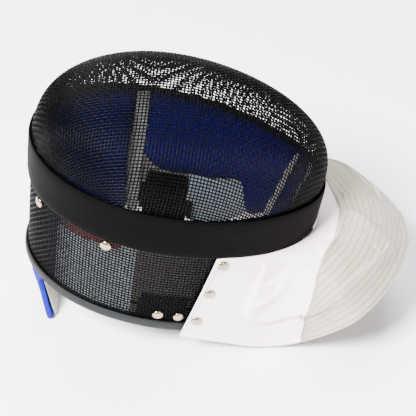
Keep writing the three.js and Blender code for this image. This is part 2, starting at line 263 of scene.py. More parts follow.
def elasticMaterial():
    m = Maker("elasticWebbing")
    u, v, _ = m.axes(m.place())
    rib, edge = u.wave(0.0016), v.wave(0.004)
    base = m.mix(rib * 0.7 + edge * 0.3, tone(0.0001, 0.0001, 0.0002), tone(0.0008, 0.0008, 0.0011))
    return m.finish(base, 0.75, rib + edge * 0.3, 0.5, 0.0004, Specular_IOR_Level=0.02)


def nickelMaterial():
    m = Maker("nickelPlate")
    flat = m.place(False)
    patch, fine = m.noise(flat, 160, 3), m.noise(flat, 1500, 2)
    base = m.mix(patch, tone(0.26, 0.21, 0.125), tone(0.42, 0.36, 0.24))
    return m.finish(base, 0.16 + fine * 0.12, fine, 0.08, 0.0001, Metallic=1.0)


wireFinish, bandFinish, trimFinish = wireMaterial(), bandMaterial(), trimMaterial()
whiteFinish = clothMaterial("whiteCloth", (0.84, 0.7, 0.71), (0.93, 0.78, 0.79), 0.0009)
# the bib's lining is white cloth, coloured dark bluish grey as painted shade
shadedFinish = clothMaterial("bibLiningShadedCloth", (0.1, 0.125, 0.145), (0.2, 0.235, 0.265), 0.0012)
lameFinish = lameMaterial()
padFinish = clothMaterial("padBlue", (0.001, 0.0003, 0.034), (0.003, 0.0009, 0.115), 0.0014, 0.5, False,
                          sheen=0.0, shine=0.02)
tongueFinish = clothMaterial("tongueBlue", (0.006, 0.007, 0.16), (0.014, 0.016, 0.3), 0.0012, sheen=0.0,
                             shine=0.1)
liningFinish = clothMaterial("liningCloth", (0.42, 0.38, 0.33), (0.62, 0.58, 0.52), 0.0013)
stripFinish = clothMaterial("stripWhite", (0.17, 0.16, 0.155), (0.32, 0.305, 0.295), 0.001)
redFinish = clothMaterial("redStrip", (0.08, 0.01, 0.009), (0.2, 0.025, 0.022), 0.001)
elasticFinish, nickelFinish = elasticMaterial(), nickelMaterial()
# the pads' outer backs: grey cloth painted dark grey-brown, its own grey darkened by painted shade
shadedBackFinish = clothMaterial("padBackShadedBrown", (0.06, 0.054, 0.052), (0.19, 0.172, 0.166), 0.0016, 0.5,
                           sheen=0.0, shine=0.05)
paleBackFinish = clothMaterial("padBackPale", (0.19, 0.205, 0.235), (0.48, 0.51, 0.565), 0.0014)
print("materials made")


def pick(piece):
    bpy.ops.object.select_all(action="DESELECT")
    piece.select_set(True)
    bpy.context.view_layer.objects.active = piece


def applyAll(piece):
    pick(piece)
    for mod in [m.name for m in piece.modifiers]:
        bpy.ops.object.modifier_apply(modifier=mod)


def give(piece, finish, slotName, *nodes):
    # material, slot (not used), the CAD nodes that the piece stands for, and its body
    piece.data.materials.clear()
    piece.data.materials.append(finish)
    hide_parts(*nodes)
    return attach(piece, "root")


# A grid primitive laid over a surface: place(u, v) gives millimetres in the lying frame. Its UV map is the
# cut, in metres along and across the cloth, counted from the last row where fromEdge is set.
def wrapGrid(name, columns, rows, place, closed=False, rounding=0, fromEdge=False):
    bpy.ops.mesh.primitive_grid_add(x_subdivisions=columns, y_subdivisions=rows, size=1, calc_uvs=True)
    piece = bpy.context.object
    piece.name = piece.data.name = name
    mesh = piece.data
    u, v = getPoints(mesh)[:, 0] + 0.5, getPoints(mesh)[:, 1] + 0.5
    i, j = np.rint(u * columns).astype(int), np.rint(v * rows).astype(int)
    points = place(u, v)
    setPoints(mesh, placed(points))
    table = np.zeros((columns + 1, rows + 1, 3))
    table[i, j] = points
    lengthU = np.concatenate([[0], np.cumsum(np.linalg.norm(np.diff(table.mean(1), axis=0), axis=1))])
    steps = np.linalg.norm(np.diff(table, axis=1), axis=2)
    if fromEdge:
        cut = np.concatenate([np.cumsum(steps[:, ::-1], axis=1)[:, ::-1], np.zeros((columns + 1, 1))], 1)
    else:
        cut = np.tile(np.concatenate([[0], np.cumsum(steps.mean(0))]), (columns + 1, 1))
    uv = mesh.uv_layers[0]
    uv.name = "cut"
    for corner, data in zip(mesh.loops, uv.data):
        at = i[corner.vertex_index], j[corner.vertex_index]
        data.uv = lengthU[at[0]] / 1000, cut[at] / 1000
    pick(piece)
    if closed:
        bpy.ops.object.mode_set(mode="EDIT")
        bpy.ops.mesh.select_all(action="SELECT")
        bpy.ops.mesh.remove_doubles(threshold=0.00002)
        bpy.ops.mesh.normals_make_consistent(inside=False)
        bpy.ops.object.mode_set(mode="OBJECT")
    if rounding:
        sub = piece.modifiers.new("round", "SUBSURF")
        sub.levels = sub.render_levels = rounding
    applyAll(piece)
    bpy.ops.object.shade_smooth_by_angle(angle=math.radians(50))
    return piece


def turnOut(piece, inside):
    # faces point away from a point of the scene, for open sheets before they get a wall
    mesh = piece.data
    total = sum((f.center - Vector(inside)).dot(f.normal) * f.area for f in mesh.polygons)
    if total < 0:
        mesh.flip_normals()


def giveWall(piece, thickness, offset=-1, bevel=0.0, segments=2):
    solid = piece.modifiers.new("wall", "SOLIDIFY")
    solid.thickness, solid.offset = thickness / 1000, offset
    if bevel:
        edge = piece.modifiers.new("edge", "BEVEL")
        edge.width, edge.segments, edge.limit_method = bevel / 1000, segments, "ANGLE"
        edge.angle_limit = math.radians(50)
    applyAll(piece)
    bpy.ops.object.shade_smooth_by_angle(angle=math.radians(60))


# Woven wire cloth: the wires' middle lies depth below the surface, and waves about it
wires = {"pitch": 3.1, "radius": 0.62, "wave": 0.5, "depth": 1.0, "sides": 1, "along": 66, "across": 52,
         "stride": 1.2, "frontEnd": -7, "sideTop": -39, "sideLevel": -70}


def domeRadius():
    # the rim's distance from the crest's axis, by the angle about it
    a = np.linspace(-math.pi, math.pi, 2881)
    x, y = planAt(a, mask["rim"])
    angle = np.arctan2(y, x - mask["crestX"])
    angle[0], angle[-1] = -math.pi, math.pi
    return angle, np.hypot(x - mask["crestX"], y)


rimAngles, rimRadii = domeRadius()


def domeLevel(p):
    # zero on the dome, and straight down below its rim
    x, y, z = p[..., 0] - mask["crestX"], p[..., 1], p[..., 2]
    s = np.hypot(x, y) / np.interp(np.arctan2(y, x), rimAngles, rimRadii)
    return s ** mask["domeP"] + (np.maximum(z, 0) / mask["domeHeight"]) ** mask["domeQ"] - 1


def domeSlope(p):
    g, reach = np.zeros_like(p), 0.02
    for k in range(3):
        d = np.zeros(3)
        d[k] = reach
        g[..., k] = (domeLevel(p + d) - domeLevel(p - d)) / (2 * reach)
    return g


def crestLine(angle, steps):
    # points a pitch apart from the crest along one plane through it
    radius = np.interp(angle, rimAngles, rimRadii)
    onDome, below = 3000, 400
    s = np.concatenate([np.linspace(0, 1, onDome) ** 0.8, np.ones(below)])
    z = mask["domeHeight"] * np.maximum(0, 1 - s ** mask["domeP"]) ** (1 / mask["domeQ"])
    z[onDome:] = -np.linspace(0.1, 60, below)
    p = np.stack([mask["crestX"] + radius * s * math.cos(angle), radius * s * math.sin(angle), z], -1)
    arc = np.concatenate([[0], np.cumsum(np.linalg.norm(np.diff(p, axis=0), axis=1))])
    at = np.arange(steps + 1) * wires["pitch"]
    return np.stack([np.interp(at, arc, p[:, k]) for k in range(3)], -1)


def weaveQuarter(direction, steps, across):
    # a square cloth draped from the crest: each new crossing lies about a pitch from both its neighbours
    net = np.full((steps + 1, across + 1, 3), np.nan)
    net[:, 0] = crestLine(0.0 if direction > 0 else math.pi, steps)
    net[0, :] = crestLine(math.pi / 2, across)
    pitch = wires["pitch"]
    for level in range(2, steps + across + 1):
        i = np.arange(max(1, level - across), min(steps, level - 1) + 1)
        j = level - i
        a, b, d = net[i - 1, j], net[i, j - 1], net[i - 1, j - 1]
        # a first guess, brought onto the dome, then solved for both distances and the dome together
        q = a + b - d
        for step in range(3):
            g = domeSlope(q)
            q = q - g * (domeLevel(q) / np.maximum((g ** 2).sum(-1), 1e-9))[..., None]
        la = 0.25 * np.linalg.norm(q - a, axis=-1) + 0.75 * pitch
        lb = 0.25 * np.linalg.norm(q - b, axis=-1) + 0.75 * pitch
        for step in range(6):
            g = domeSlope(q)
            jac = np.stack([2 * (q - a), 2 * (q - b), g * 100], -2) + np.eye(3) * 1e-6
            res = np.stack([((q - a) ** 2).sum(-1) - la ** 2, ((q - b) ** 2).sum(-1) - lb ** 2,
                            domeLevel(q) * 100], -1)
            good = np.isfinite(jac).all((-1, -2)) & np.isfinite(res).all(-1)
            move = np.zeros_like(q)
            move[good] = np.linalg.solve(jac[good], res[good][..., None])[..., 0]
            q = q - np.clip(move, -wires["stride"], wires["stride"])
        net[i, j] = q
    return net


def wireCurves(name, lines, nodes):
    data = bpy.data.curves.new(name, "CURVE")
    data.dimensions, data.bevel_depth, data.bevel_resolution = "3D", wires["radius"] / 1000, wires["sides"]
    data.use_fill_caps = True
    for points, closed in lines:
        spline = data.splines.new("POLY")
        spline.points.add(len(points) - 1)
        spline.points.foreach_set("co", np.c_[lying(points), np.ones(len(points))].ravel())
        spline.use_cyclic_u = closed
    piece = bpy.data.objects.new(name, data)
    bpy.context.collection.objects.link(piece)
    pick(piece)
    bpy.ops.object.convert(target="MESH")
    piece = bpy.context.object
    piece.name = piece.data.name = name
    bpy.ops.object.shade_smooth()
    give(piece, wireFinish, "wire", *nodes)
    print(name, len(piece.data.polygons))


def runs(points, keep, smallest=3):
    # the stretches of a wire that are kept, but no stub of fewer points
    found, start = [], None
    for k, ok in enumerate(list(keep) + [False]):
        if ok and start is None:
            start = k
        elif not ok and start is not None:
            if k - start >= smallest:
                found.append((points[start:k], False))
            start = None
    return found


def checker(n, m):
    # which way each crossing's wire waves
    even = np.add.outer(np.arange(n), np.arange(m)) % 2 == 0
    return np.where(even, 1.0, -1.0)[..., None] * wires["wave"]


def frontMesh():
    toChin, toCrown = (weaveQuarter(way, wires["along"], wires["across"]) for way in (1, -1))
    half = np.concatenate([toCrown[:0:-1], toChin])
    whole = np.concatenate([half[:, :0:-1] * np.array([1, -1, 1]), half], axis=1)
    slope = domeSlope(whole)
    normal = slope / np.maximum(np.linalg.norm(slope, axis=-1), 1e-9)[..., None]
    keep = np.isfinite(whole).all(-1) & (whole[..., 2] > wires["frontEnd"])
    centre = whole - normal * wires["depth"]
    n, m = centre.shape[:2]
    over, under = centre + normal * checker(n, m), centre - normal * checker(n, m)
    along, crossing = [], []
    for j in range(m):
        along += runs(over[:, j], keep[:, j])
    for i in range(n):
        crossing += runs(under[i], keep[i])
    wireCurves("frontWiresAlong", along, ["front_mesh_crown", "front_mesh_chin"])
    wireCurves("frontWiresAcross", crossing, ["front_mesh_crown", "front_mesh_chin"])


def sideMesh():
    count = 2 * int(round(arcAngles(2, wires["sideLevel"])[1] / wires["pitch"] / 2))
    angles = arcAngles(count + 1, wires["sideLevel"])[0][:-1]
    heights = np.arange(wires["sideTop"], -mask["depth"], -wires["pitch"])
    a, z = np.meshgrid(angles, heights, indexing="ij")
    centre = wallAt(a, z, -wires["depth"])
    wave = (wallAt(a, z, 0.0) - wallAt(a, z, -1.0)) * checker(count, len(heights))
    keep = z > rearEdge(a) - 1.0
    around, down = [], []
    for j in range(len(heights)):
        ring, ok = (centre + wave)[:, j], keep[:, j]
        if ok.all():
            around.append((ring, True))
        else:
            turn = int(np.argmin(ok))
            around += runs(np.roll(ring, -turn, axis=0), np.roll(ok, -turn))
    for i in range(count):
        down += runs((centre - wave)[i], keep[i])
    wireCurves("sideWiresAround", around, ["side_mesh"])
    wireCurves("sideWiresDown", down, ["side_mesh"])


frontMesh()
sideMesh()


# Rim band: a wide flat strip with rolled edges
band = {"top": 0.3, "width": 42.6, "inner": 0.5, "outer": 2.6, "thick": 1.9, "bevel": 0.7}


def rimBand():
    def place(u, v):
        z = band["top"] - v * band["width"]
        ease = 1 - np.abs(2 * v - 1) ** 10
        ripple = 0.18 * np.sin(u * 2 * math.pi * 5 + 1.2) * np.sin(v * math.pi * 2.4)
        ripple = 0.7 * (ripple + 0.12 * np.sin(u * 41 + v * 3))
        off = band["inner"] + band["outer"] * (0.72 + 0.28 * ease) + ripple
        return tilted(wallAt(u * 2 * math.pi, z, off))
    piece = wrapGrid("rimBand", 300, 24, place, closed=True)
    turnOut(piece, (0, 0, 0.12))
    giveWall(piece, band["thick"], bevel=band["bevel"], segments=3)
    give(piece, bandFinish, "band", "rim_band")


rimBand()

# Rear trim: a soft binding folded over the mesh's edge
trim = {"legs": 7.6, "thick": 2.7}


def rearTrim():
    t, leg = trim["thick"], trim["legs"]
    # the section round the edge: distance from the wall, height above the edge
    profile = np.array([(0.35, leg - 0.6), (0.9, leg), (t - 0.2, leg - 0.3), (t + 0.25, leg - 1.2),
                        (t + 0.4, 3.0), (t + 0.35, 0.2), (t - 0.2, -1.6), (1.2, -2.9), (-1, -3.2),
                        (-3.2, -2.9), (-t - 1.9, -1.6), (-t - 2.3, 0.2), (-t - 2.35, 3.0),
                        (-t - 2.2, leg - 1.2), (-t - 1.8, leg - 0.3), (-2.9, leg), (-2.35, leg - 0.6),
                        (-2.3, 0.0), (-1, -0.5), (0.3, 0.0)])
    count = len(profile)

    def place(u, v):
        k = v * count
        lower = np.floor(k + 1e-9).astype(int)
        f = k - lower
        p = profile[lower % count] * (1 - f)[:, None] + profile[(lower + 1) % count] * f[:, None]
        a = u * 2 * math.pi
        wobble = 0.22 * np.sin(u * 2 * math.pi * 9) + 0.15 * np.sin(u * 2 * math.pi * 23 + 1)
        off = p[:, 0] + 0.12 * np.sign(p[:, 0] + 1) * wobble
        return tilted(wallAt(a, rearEdge(a) + p[:, 1] + wobble * 0.5, off))
    piece = wrapGrid("rearTrim", 260, count, place, closed=True, rounding=1)
    give(piece, trimFinish, "trim", "rear_trim")


rearTrim()
print("band and trim made")

# Bib: two cloths joined along a seam, u across from -1 to 1 and v down from the band. Columns of the hem:
# u, then x, half width and height as shares of the rim length. Of the seam: u, then v. The stitched cloth
# ends at u = lameEnd. Flat sizes are in metres, along the seam and down.
lameEnd = 19 / 30
bib = {"halfAngle": math.radians(73), "sideAngle": math.radians(82.5), "thick": 2.2, "bulge": 17,
       "wall": 1.6, "bevel": 0.4, "depthOfFolds": 1.35, "across": 200, "down": 110,
       "inside": (0.02, 0, 0.03), "flat": {"bib_white": (0.46, 0.16), "bib_lame": (0.33, 0.12)},
       "hem": [(0, 0.808, 0, -0.374), (0.09, 0.796, 0.08, -0.364), (0.19, 0.762, 0.175, -0.362),
               (0.3, 0.7, 0.288, -0.374), (0.43, 0.6, 0.386, -0.404), (0.52, 0.52, 0.384, -0.468),
               (0.6, 0.45, 0.35, -0.545), (0.68, 0.37, 0.326, -0.597), (0.78, 0.285, 0.323, -0.6095),
               (0.9, 0.147, 0.338, -0.575), (1, 0.009, 0.345, -0.536)],
       "seam": [(0, 0.194), (0.1, 0.19), (0.2, 0.2), (0.3, 0.225), (0.38, 0.245), (0.43, 0.275),
                (0.5, 0.365), (0.55, 0.52), (0.6, 0.72), (lameEnd, 1)],
       "floor": -170.0}


def hemCurve(w):
    # a smooth curve through the hem's rows, mirrored over the middle
    rows = np.array(bib["hem"])
    mirrored = rows[1:][::-1] * np.array([-1, 1, -1, 1])
    whole = np.concatenate([mirrored, rows])
    x = whole[:, 0]
    out = []
    for k in (1, 2, 3):
        y = whole[:, k]
        slope = np.zeros(len(x))
        slope[1:-1] = (y[2:] - y[:-2]) / (x[2:] - x[:-2])
        slope[0], slope[-1] = (y[1] - y[0]) / (x[1] - x[0]), (y[-1] - y[-2]) / (x[-1] - x[-2])
        i = np.clip(np.searchsorted(x, w, side="right") - 1, 0, len(x) - 2)
        h = x[i + 1] - x[i]
        t = (w - x[i]) / h
        out.append((2 * t ** 3 - 3 * t ** 2 + 1) * y[i] + (t ** 3 - 2 * t ** 2 + t) * h * slope[i]
                   + (3 * t ** 2 - 2 * t ** 3) * y[i + 1] + (t ** 3 - t ** 2) * h * slope[i + 1])
    return out


def bibPoint(u, v):
    # straight lines from the band to the hem, bulged outward, less toward the side edges
    w, sign = np.abs(u), np.where(u < 0, -1.0, 1.0)
    top = tilted(wallAt(bib["halfAngle"] * w, -mask["bandWidth"] - 0.9, 1.0 + bib["thick"]))
    hx, hy, hz = hemCurve(w)
    length = mask["rim"][0]
    side = tilted(wallAt(bib["sideAngle"], -mask["depth"] - 5, 4 + bib["thick"]))
    t = smoothStep(0.86, 1, w)[..., None]
    hem = np.stack([hx * length, hy * length, hz * length], -1) * (1 - t) + side * t
    p = top * (1 - v[..., None]) + hem * v[..., None]
    b = bib["bulge"] * np.sin(math.pi * v ** 0.85) * (1 - 0.88 * smoothStep(0.5, 0.95, w))
    out = np.minimum(1, w / 0.45)
    p = p + np.stack([0.3 * b, 0.62 * out * b, (0.85 - 0.35 * smoothStep(0.3, 0.8, w)) * b], -1)
    p[..., 1] *= sign
    return p


def bibNormal(u, v):
    # outward, whichever way the surface's own columns and rows turn
    e = 0.01
    a = bibPoint(u + e, v) - bibPoint(u - e, v)
    b = bibPoint(u, np.minimum(1, v + e)) - bibPoint(u, np.maximum(0, v - e))
    n = np.cross(a, b)
    n /= np.maximum(np.linalg.norm(n, axis=-1), 1e-9)[..., None]
    front = np.stack([0.3 + 0 * u, np.sin(u * 1.6), np.cos(u * 1.6) + 0 * v], -1)
    return n * np.sign((n * front).sum(-1))[..., None]


# Creases in the cloth: height in millimetres, how far it fades on the two sides of the line, then the
# line's points as u, minus on the photographed side, and v
creases = [
    (3.6, 17, 2.4, [(-0.768, 0.228), (-0.795, 0.352), (-0.824, 0.52), (-0.833, 0.59), (-0.827, 0.67),
                    (-0.783, 0.688), (-0.716, 0.665), (-0.655, 0.667), (-0.602, 0.69)]),
    (-2.2, 2.6, 9, [(-0.42, 0.24), (-0.536, 0.215), (-0.643, 0.223), (-0.757, 0.283)]),
    (1.6, 2.4, 6, [(-0.81, 0.503), (-0.768, 0.453), (-0.703, 0.408), (-0.658, 0.323), (-0.613, 0.233)]),
    (1.3, 2.2, 3.5, [(-0.17, 0.258), (-0.309, 0.24), (-0.443, 0.28)]),
    (3.0, 14, 2.2, [(-0.22, 0.72), (-0.32, 0.655), (-0.417, 0.623), (-0.5, 0.655), (-0.578, 0.705)]),
    (1.5, 5, 7, [(-0.02, 0.3), (-0.1, 0.55), (-0.16, 0.85)]),
    (1.5, 6, 6, [(0.12, 0.3), (0.1, 0.6), (0.08, 0.9)]),
    (-1.4, 4, 8, [(-0.26, 0.22), (-0.21, 0.42), (-0.2, 0.62)]),
    (3.2, 3, 14, [(0.81, 0.25), (0.84, 0.5), (0.8, 0.66), (0.7, 0.7), (0.61, 0.68)]),
    (-2.0, 8, 3, [(0.45, 0.26), (0.6, 0.22), (0.74, 0.3)]),
    (2.6, 3, 13, [(0.2, 0.74), (0.36, 0.66), (0.5, 0.64), (0.6, 0.7)])]


def creaseRise(u, v):
    x, y = u * bib["across"], v * bib["down"]
    total = np.zeros(np.broadcast(u, v).shape)
    for height, left, right, line in creases:
        pts = np.array(line) * (bib["across"], bib["down"])
        best, side = np.full(total.shape, 1e9), np.ones(total.shape)
        for (x0, y0), (x1, y1) in zip(pts[:-1], pts[1:]):
            dx, dy = x1 - x0, y1 - y0
            t = np.clip(((x - x0) * dx + (y - y0) * dy) / (dx * dx + dy * dy), 0, 1)
            d = np.hypot(x - x0 - t * dx, y - y0 - t * dy)
            near = d < best
            best = np.where(near, d, best)
            side = np.where(near, dx * (y - y0) - dy * (x - x0), side)
        total += bib["depthOfFolds"] * height * np.exp(-(best / np.where(side < 0, left, right)) ** 2)
    return total


def bibFolded(u, v, lift=0.0):
    # creases and a faint wave, which die out at the band and at the side edges
    p, n = bibPoint(u, v), bibNormal(u, v)
    loose = smoothStep(0.02, 0.14, v) * (1 - smoothStep(0.9, 0.96, np.abs(u)))
    wave = 0.5 * np.sin(u * 17 + v * 6) * np.sin(v * 7 + u * 5) + 0.35 * np.sin(u * 41 - v * 9)
    rise = (creaseRise(u, v) + wave * smoothStep(0.1, 0.4, v)) * loose
    p = p + n * (rise + lift)[..., None]
    p[..., 2] = np.maximum(p[..., 2], bib["floor"])
    return p


def seamAt(u):
    rows = np.array(bib["seam"])
    return np.interp(np.abs(u), rows[:, 0], rows[:, 1])


def bibCloth():
    edge = lameEnd - 0.004

    def white(u, v):
        uu = 2 * u - 1
        stop = np.where(np.abs(uu) < edge, seamAt(uu) + 0.02, 1.0)
        hem = 0.5 * smoothStep(0.94, 0.97, v) * (np.abs(uu) > edge)
        side = 0.8 * smoothStep(0.972, 0.978, np.abs(uu))
        return bibFolded(uu, v * np.minimum(stop, 1.0), lift=-0.2 + np.maximum(hem, side))

    def lame(u, v):
        uu = (2 * u - 1) * edge
        start = seamAt(uu)
        hem = 0.5 * smoothStep(0.9, 0.93, v)
        fold = 0.7 * np.exp(-((v - 0.03) / 0.03) ** 2)
        return bibFolded(uu, start + (1 - start) * v, lift=0.5 + hem + fold)

    whitePiece = wrapGrid("bibWhite", 360, 84, white, closed=True)
    lamePiece = wrapGrid("bibLame", 290, 72, lame, closed=True, fromEdge=True)
    for piece, finish, slotName, node in ((whitePiece, whiteFinish, "white_cloth", "bib_white"),
                                          (lamePiece, lameFinish, "lame_cloth", "bib_lame")):
        turnOut(piece, bib["inside"])
        giveWall(piece, bib["wall"], bevel=bib["bevel"])
        give(piece, finish, slotName, node)


bibCloth()


# Tongue: padded flap with a bound edge and a paler inner face
tongue = {"top": -112, "half": 27.5, "grow": 1.24, "gap": 5.6, "thick": 5.0, "wall": 5.3, "bevel": 2.2,
          "liningWall": 1.0, "bow": 9.0, "turn": 0.36, "tipX": -129, "floor": -170.2}


def tonguePoint(u, v, off):
    # along the wall down to the turn, then bowed out to the floor
    w, turn, bend = 2 * u - 1, tongue["turn"], -mask["depth"] - 3
    a = math.pi - math.radians(tongue["half"]) * w
    height = tongue["top"] + (bend - tongue["top"]) * np.minimum(v / turn, 1)
    onWall = tilted(wallAt(a, height, -tongue["gap"] - off))
    t = np.clip((v - turn) / (1 - turn), 0, 1)
    grow = (1 + (tongue["grow"] - 1) * t) * (1 - 0.07 * np.maximum(0, (t - 0.8) / 0.2) ** 3)
    bow = tongue["bow"] * smoothStep(0.02, 0.22, t) * (1 - t)
    lower = np.stack([onWall[..., 0] * (1 - t) + (tongue["tipX"] + off) * t - bow, onWall[..., 1] * grow,
                      onWall[..., 2] * (1 - t) + tongue["floor"] * t], -1)
    return np.where((v <= turn)[..., None], onWall, lower)


def swell(x, power):
    # one in the middle, zero at both ends
    return np.clip(1 - np.abs(2 * x - 1) ** power, 0, 1)


def backTongue():
    def outer(u, v):
        puff = 0.9 * (swell(u, 6) * swell(v, 6)) ** 0.5
        return tonguePoint(u, v, 0.9 - puff - 2.2 * smoothStep(0.4, 1, v))

    def inner(u, v):
        off = tongue["thick"] + 1.35 - 1.0 * smoothStep(0.4, 1, v) + 0.5 * swell(u, 6)
        return tonguePoint(0.03 + 0.94 * u, 0.02 + 0.96 * v, off)
    body = wrapGrid("tonguePad", 40, 36, outer)
    turnOut(body, (0, 0, 0.05))
    giveWall(body, tongue["wall"], bevel=tongue["bevel"], segments=4)
    give(body, tongueFinish, "blue_cloth", "tongue")
    face = wrapGrid("tongueLining", 36, 34, inner)
    turnOut(face, (-0.4, 0, 0.05))
    giveWall(face, tongue["liningWall"], 1)
    give(face, liningFinish, "lining", "tongue_lining")


backTongue()
print("bib and tongue made")


# Lower edge of the side pads: shares of their depth, by the angle round the wall
sidePad = {"depth": 92, "overTrim": 10,
           "rear": [(19, 1), (43, 1.02), (48, 0.93), (55, 0.84), (60, 0.83), (71, 0.95), (84, 1.01),
                    (93, 1.04), (99, 0.98), (103, 0.83)]}


def sideRear(a):
    rows = np.array(sidePad["rear"])
    shares = np.interp(np.degrees(np.abs(a)), rows[:, 0], rows[:, 1])
    return np.maximum(-sidePad["depth"] * shares, rearEdge(a) + sidePad["overTrim"])


# Pads: swollen by a short cloth simulation, then fitted to the wall
pads = {"voxel": 0.0036, "pressure": 4.0, "cap": 0.0026, "frames": 16, "drop": 13.0, "inner": (1, 4.5)}
# How the lower edges are led over the trim: where round the wall this ends, and how far down, in and off
# the wall, each with the depths between which it sets in. The side pads' depths count from their CAD edge.
crownEdge = {"beside": (138, 142), "down": 12.0, "downAt": (96, 124), "off": 1.9, "offAt": (112, 124),
             "push": 17.0, "pushAt": (102, 128), "pushInner": (1, 5), "dropAt": (92, 124), "widen": 1.024}
chinEdge = {"beside": (29, 41), "down": 25.0, "downAt": (-36, -3), "off": 2.9, "offAt": (-8, 0),
            "dropAt": (-10, 18), "widen": 0.03, "widenFrom": 1.1}


def swellPad(name, node, off):
    source = bpy.data.objects[node]
    piece = bpy.data.objects.new(name, source.data.copy())
    bpy.context.collection.objects.link(piece)
    piece.matrix_world = source.matrix_world.copy()
    pick(piece)
    bpy.ops.object.mode_set(mode="EDIT")
    bpy.ops.mesh.select_all(action="SELECT")
    bpy.ops.mesh.remove_doubles(threshold=0.00001)
    bpy.ops.object.mode_set(mode="OBJECT")
    remesh = piece.modifiers.new("even", "REMESH")
    remesh.mode, remesh.voxel_size = "VOXEL", pads["voxel"]
    relax = piece.modifiers.new("relax", "SMOOTH")
    relax.factor, relax.iterations = 0.5, 2
    applyAll(piece)
    before = getPoints(piece.data)
    cloth = piece.modifiers.new("swell", "CLOTH")
    cloth.settings.use_pressure = True
    cloth.settings.uniform_pressure_force = pads["pressure"]
    cloth.settings.effector_weights.gravity = 0
    for step in range(1, pads["frames"] + 1):
        bpy.context.scene.frame_set(step)
    applyAll(piece)
    bpy.context.scene.frame_set(1)
    move = getPoints(piece.data) - before
    far = np.linalg.norm(move, axis=1)
    move *= np.minimum(1, pads["cap"] / np.maximum(far, 1e-9))[:, None]
    setPoints(piece.data, before + move)
    keepInside(piece, off)
    sub = piece.modifiers.new("round", "SUBSURF")
    sub.levels = sub.render_levels = 1
    applyAll(piece)
    bpy.ops.object.shade_smooth()
    give(piece, padFinish, "pad", node)


def wallLimit(angle, z, off):
    # how far from the crest's axis the wall's inner face lies
    t = np.clip(-z / mask["depth"], 0, 1.05)
    a = np.linspace(-math.pi, math.pi, 721)
    limit = np.zeros(len(z))
    for z0, share in ((0.0, 1 - t), (-mask["depth"], t)):
        ring = wallAt(a, z0, 0.0)
        phi = np.arctan2(ring[:, 1], ring[:, 0] - mask["crestX"])
        order = np.argsort(phi)
        far = np.hypot(ring[:, 0] - mask["crestX"], ring[:, 1])
        limit += (np.interp(angle, phi[order], far[order]) + off) * share
    return limit


def keepInside(piece, off):
    # in the mask's own frame, where the wall is known
    p = unlying(getPoints(piece.data))
    x, y = p[:, 0] - mask["crestX"], p[:, 1]
    angle, radius = np.arctan2(y, x), np.hypot(x, y)
    around, push, drop = np.abs(angle), 0.0, 0.0
    if piece.name == "padCrown":
        edge = crownEdge
        near = 1 - smoothStep(*edge["beside"], np.degrees(around))
        p[:, 2] -= edge["down"] * smoothStep(*edge["downAt"], -p[:, 2]) * near
        off = off - edge["off"] * smoothStep(*edge["offAt"], -p[:, 2])
        push = edge["push"] * near * smoothStep(*edge["pushAt"], -p[:, 2])
        drop = pads["drop"] * near * smoothStep(*edge["dropAt"], -p[:, 2])
        around = math.pi - (math.pi - around) * edge["widen"]
    if piece.name.startswith("padSide"):
        edge, lower = chinEdge, sideRear(around)
        near = 1 - smoothStep(*edge["beside"], np.degrees(around))
        p[:, 2] -= edge["down"] * near * smoothStep(*edge["downAt"], lower - p[:, 2])
        off = off - edge["off"] * near * smoothStep(*edge["offAt"], lower - p[:, 2])
        drop = pads["drop"] * near * smoothStep(*edge["dropAt"], lower - p[:, 2])
        around = around + np.maximum(around - edge["widenFrom"], 0) * edge["widen"]
    angle = around * np.sign(angle)
    limit = wallLimit(angle, p[:, 2], off)
    radius = np.minimum(radius, limit)
    p[:, 2] -= drop * smoothStep(*pads["inner"], limit - radius)
    radius = radius - push * smoothStep(*crownEdge["pushInner"], limit - radius)
    p[:, 0], p[:, 1] = mask["crestX"] + radius * np.cos(angle), radius * np.sin(angle)
    setPoints(piece.data, lying(p))


for name, node, off in (("padCrown", "crown_pad", -4.2), ("padChin", "chin_pad", -3.2),
                        ("padSideLeft", "side_pad_left", -3.2), ("padSideRight", "side_pad_right", -3.2)):
    swellPad(name, node, off)
print("pads made")


# Strips, linings and backs along the wall. Their edges are functions of the angle where they aren't level.
def redRear(a):
    return -52 - 5 * (np.degrees(a) - 110) / 29


def seamLine(u, height):
    # the seam between side and chin pad leans back as it goes down
    middle = np.interp(-height, (-6, 3, 22, 52, 71, 94), (22, 24, 27.5, 31.7, 34.6, 37.6))
    return np.radians(middle + 2.7 * (u - 0.5))


def liningTop(a):
    return sideRear(a) + 2


def liningRear(a):
    # it hangs a little below the trim inside the bib
    return rearEdge(a) - 1 - 10 * (1 - smoothStep(77, 80.5, np.degrees(a)))


def crownBackTop(a):
    # below the red strip where there is one
    return np.where(np.degrees(a) < 109.6, -43.3, redRear(a) - 0.6)


def sideBackRear(a):
    # down to the trim, but only part of the way in front of the strap's end
    behind = (np.degrees(a) > 80.6) & (np.degrees(a) < 101)
    return np.where(behind, -111, rearEdge(a) + 7.8)


